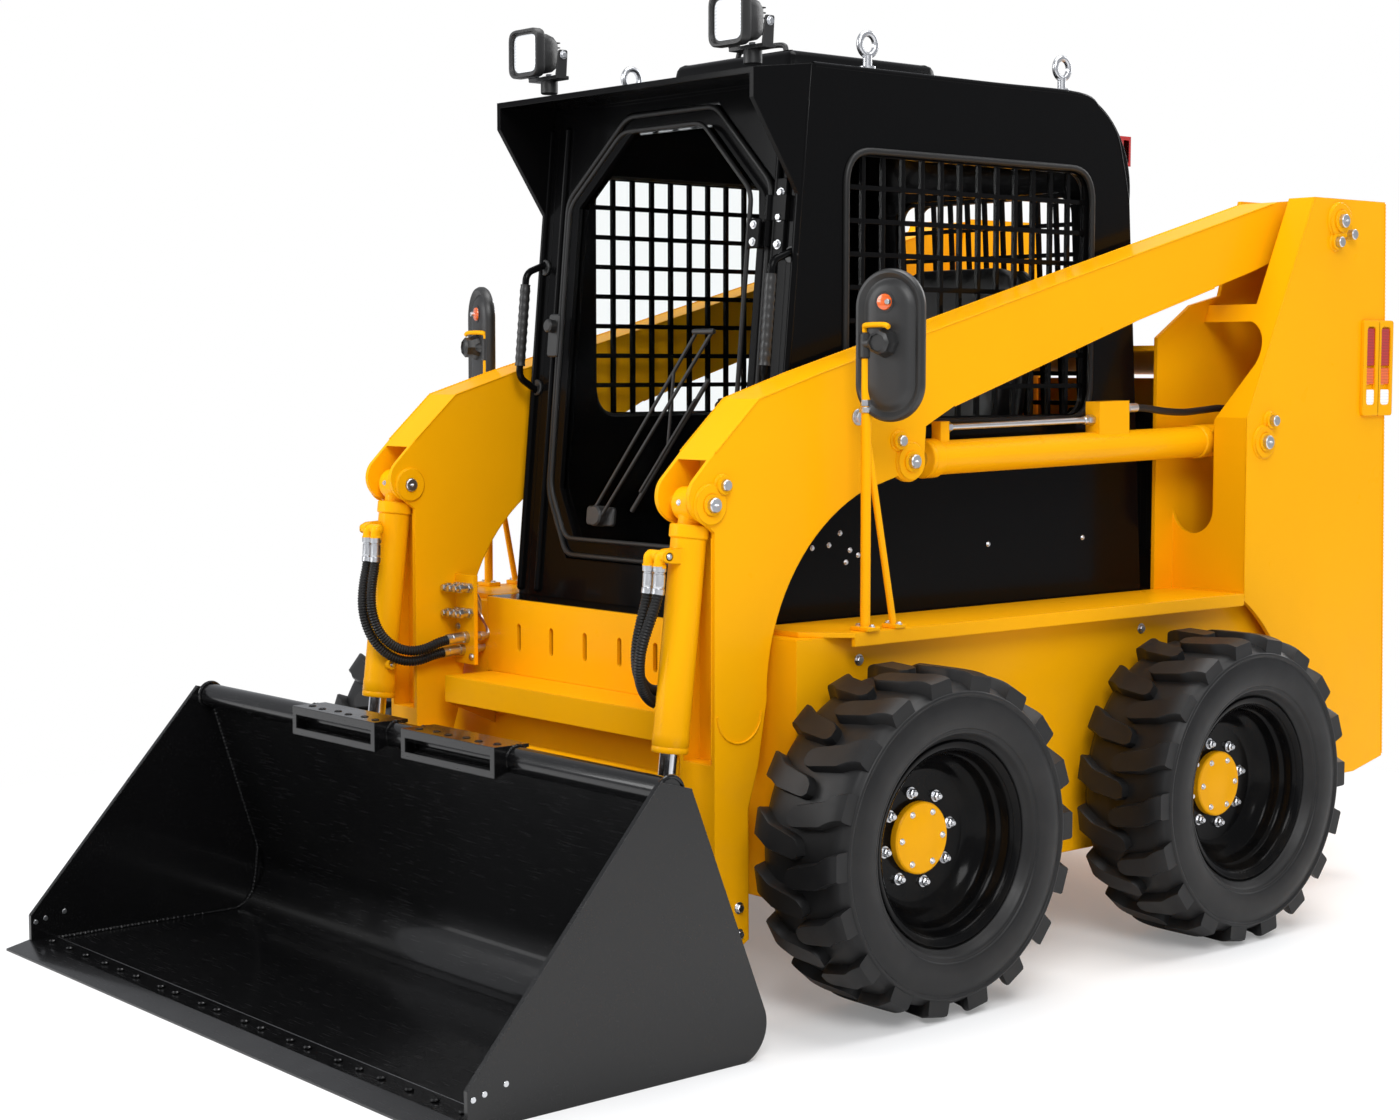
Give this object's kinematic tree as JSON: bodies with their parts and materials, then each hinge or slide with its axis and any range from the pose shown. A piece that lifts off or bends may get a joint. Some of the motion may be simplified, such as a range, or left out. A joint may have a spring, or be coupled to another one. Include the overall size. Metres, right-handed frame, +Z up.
{
  "type": "skid steer loader",
  "caption": "Compact wheeled loader with a cab between two rear uprights, lift arms, hydraulic cylinders and a wide front bucket.",
  "frame": {"origin": "middle of the footprint on the ground", "axes": "+Z up, -Y forward towards the bucket, +X to the machine's left"},
  "size_m": [2.01, 3.32, 2.286],
  "materials": {
    "yellow_paint": "gloss",
    "black_paint": "satin gloss",
    "dark_iron": "matte",
    "rod_chrome": "polished",
    "zinc_steel": "satin",
    "black_plastic": "matte",
    "tyre_rubber": "matte",
    "hose_rubber": "satin",
    "seat_vinyl": "satin",
    "clear_glass": "clear",
    "red_lens": "gloss"
  },
  "bodies": {
    "chassis": {"main_frame": "yellow_paint", "fenders": "yellow_paint", "front_step": "yellow_paint", "front_panel": "yellow_paint", "counterweight": "yellow_paint", "hood": "yellow_paint", "towers": "yellow_paint", "mirror_stalks": "yellow_paint", "cab_sides": "black_paint", "cab_front": "black_paint", "cab_rear": "black_paint", "cab_roof": "black_paint", "cab_floor": "black_paint", "window_grilles": "black_paint", "grab_handles": "black_paint", "axle_tubes": "dark_iron", "engine_block": "dark_iron", "lifting_eyes": "zinc_steel", "roof_hatch": "black_plastic", "work_lamps": "black_plastic", "mirror_heads": "black_plastic", "control_levers": "black_plastic", "seat": "seat_vinyl", "rear_lamp": "red_lens", "tail_lamps": "red_lens"},
    "arms": {"lift_arms": "yellow_paint", "hose_brackets": "yellow_paint", "hose_inner_left": "hose_rubber", "hose_outer_left": "hose_rubber", "hose_inner_right": "hose_rubber", "hose_outer_right": "hose_rubber"},
    "bucket": {"bucket_shell": "black_paint", "cutting_edge": "black_paint", "coupler": "black_paint"},
    "front_door": {"door_frame": "black_paint", "door_glass": "clear_glass"},
    "rear_door": {"rear_door": "yellow_paint"},
    "lift_barrel_left": {"lift_barrel_left": "yellow_paint"},
    "lift_rod_left": {"lift_rod_left": "rod_chrome"},
    "tilt_barrel_left": {"tilt_barrel_left": "yellow_paint"},
    "tilt_rod_left": {"tilt_rod_left": "rod_chrome"},
    "lift_barrel_right": {"lift_barrel_right": "yellow_paint"},
    "lift_rod_right": {"lift_rod_right": "rod_chrome"},
    "tilt_barrel_right": {"tilt_barrel_right": "yellow_paint"},
    "tilt_rod_right": {"tilt_rod_right": "rod_chrome"},
    "wheel_front_left": {"tyre_front_left": "tyre_rubber", "rim_front_left": "black_paint"},
    "wheel_front_right": {"tyre_front_right": "tyre_rubber", "rim_front_right": "black_paint"},
    "wheel_rear_left": {"tyre_rear_left": "tyre_rubber", "rim_rear_left": "black_paint"},
    "wheel_rear_right": {"tyre_rear_right": "tyre_rubber", "rim_rear_right": "black_paint"}
  },
  "joints": [
    {"name": "lift", "type": "hinge", "parent": "chassis", "child": "arms", "pos_m": [0, 1.405, 1.825], "axis": [-1, 0, 0], "range_deg": [0, 64]},
    {"name": "bucket_tilt", "type": "hinge", "parent": "arms", "child": "bucket", "pos_m": [0, -0.725, 0.13], "axis": [1, 0, 0], "range_deg": [-24, 104]},
    {"name": "lift_swing_left", "type": "hinge", "parent": "chassis", "child": "lift_barrel_left", "pos_m": [0.584, 1.085, 1.236], "axis": [-1, 0, 0], "range_deg": [-0.5, 63.61]},
    {"name": "lift_stroke_left", "type": "slide", "parent": "lift_barrel_left", "child": "lift_rod_left", "axis": [0, -0.9998, -0.019], "range_m": [-0.002, 0.714]},
    {"name": "tilt_swing_left", "type": "hinge", "parent": "arms", "child": "tilt_barrel_left", "pos_m": [0.584, -0.743, 1.134], "axis": [1, 0, 0], "range_deg": [-0.95, 3.13]},
    {"name": "tilt_stroke_left", "type": "slide", "parent": "tilt_barrel_left", "child": "tilt_rod_left", "axis": [0, -0.1174, -0.9931], "range_m": [-0.0666, 0.2788]},
    {"name": "lift_swing_right", "type": "hinge", "parent": "chassis", "child": "lift_barrel_right", "pos_m": [-0.584, 1.085, 1.236], "axis": [-1, 0, 0], "range_deg": [-0.5, 63.61]},
    {"name": "lift_stroke_right", "type": "slide", "parent": "lift_barrel_right", "child": "lift_rod_right", "axis": [0, -0.9998, -0.019], "range_m": [-0.002, 0.714]},
    {"name": "tilt_swing_right", "type": "hinge", "parent": "arms", "child": "tilt_barrel_right", "pos_m": [-0.584, -0.743, 1.134], "axis": [1, 0, 0], "range_deg": [-0.95, 3.13]},
    {"name": "tilt_stroke_right", "type": "slide", "parent": "tilt_barrel_right", "child": "tilt_rod_right", "axis": [0, -0.1174, -0.9931], "range_m": [-0.0666, 0.2788]},
    {"name": "wheel_front_left_spin", "type": "hinge", "parent": "chassis", "child": "wheel_front_left", "pos_m": [0.873, -0.3285, 0.3865], "axis": [1, 0, 0], "continuous": true},
    {"name": "wheel_front_right_spin", "type": "hinge", "parent": "chassis", "child": "wheel_front_right", "pos_m": [-0.873, -0.3285, 0.3865], "axis": [1, 0, 0], "continuous": true},
    {"name": "wheel_rear_left_spin", "type": "hinge", "parent": "chassis", "child": "wheel_rear_left", "pos_m": [0.873, 0.7385, 0.3865], "axis": [1, 0, 0], "continuous": true},
    {"name": "wheel_rear_right_spin", "type": "hinge", "parent": "chassis", "child": "wheel_rear_right", "pos_m": [-0.873, 0.7385, 0.3865], "axis": [1, 0, 0], "continuous": true},
    {"name": "front_door_swing", "type": "hinge", "parent": "chassis", "child": "front_door", "pos_m": [0.398, -0.3741, 1.53829], "axis": [0, 0.0926, 0.9957], "range_deg": [0, 95]},
    {"name": "rear_door_swing", "type": "hinge", "parent": "chassis", "child": "rear_door", "pos_m": [-0.495, 1.647, 0.9], "axis": [0, 0, 1], "range_deg": [0, 100]}
  ],
  "couplings": [
    {"joint": "lift_swing_left", "follows": "lift", "ratio": 0.98616},
    {"joint": "lift_stroke_left", "follows": "lift", "m_per_rad": 0.63565},
    {"joint": "tilt_swing_left", "follows": "bucket_tilt", "ratio": 0.02723},
    {"joint": "tilt_stroke_left", "follows": "bucket_tilt", "m_per_rad": 0.15192},
    {"joint": "lift_swing_right", "follows": "lift", "ratio": 0.98616},
    {"joint": "lift_stroke_right", "follows": "lift", "m_per_rad": 0.63565},
    {"joint": "tilt_swing_right", "follows": "bucket_tilt", "ratio": 0.02723},
    {"joint": "tilt_stroke_right", "follows": "bucket_tilt", "m_per_rad": 0.15192}
  ]
}
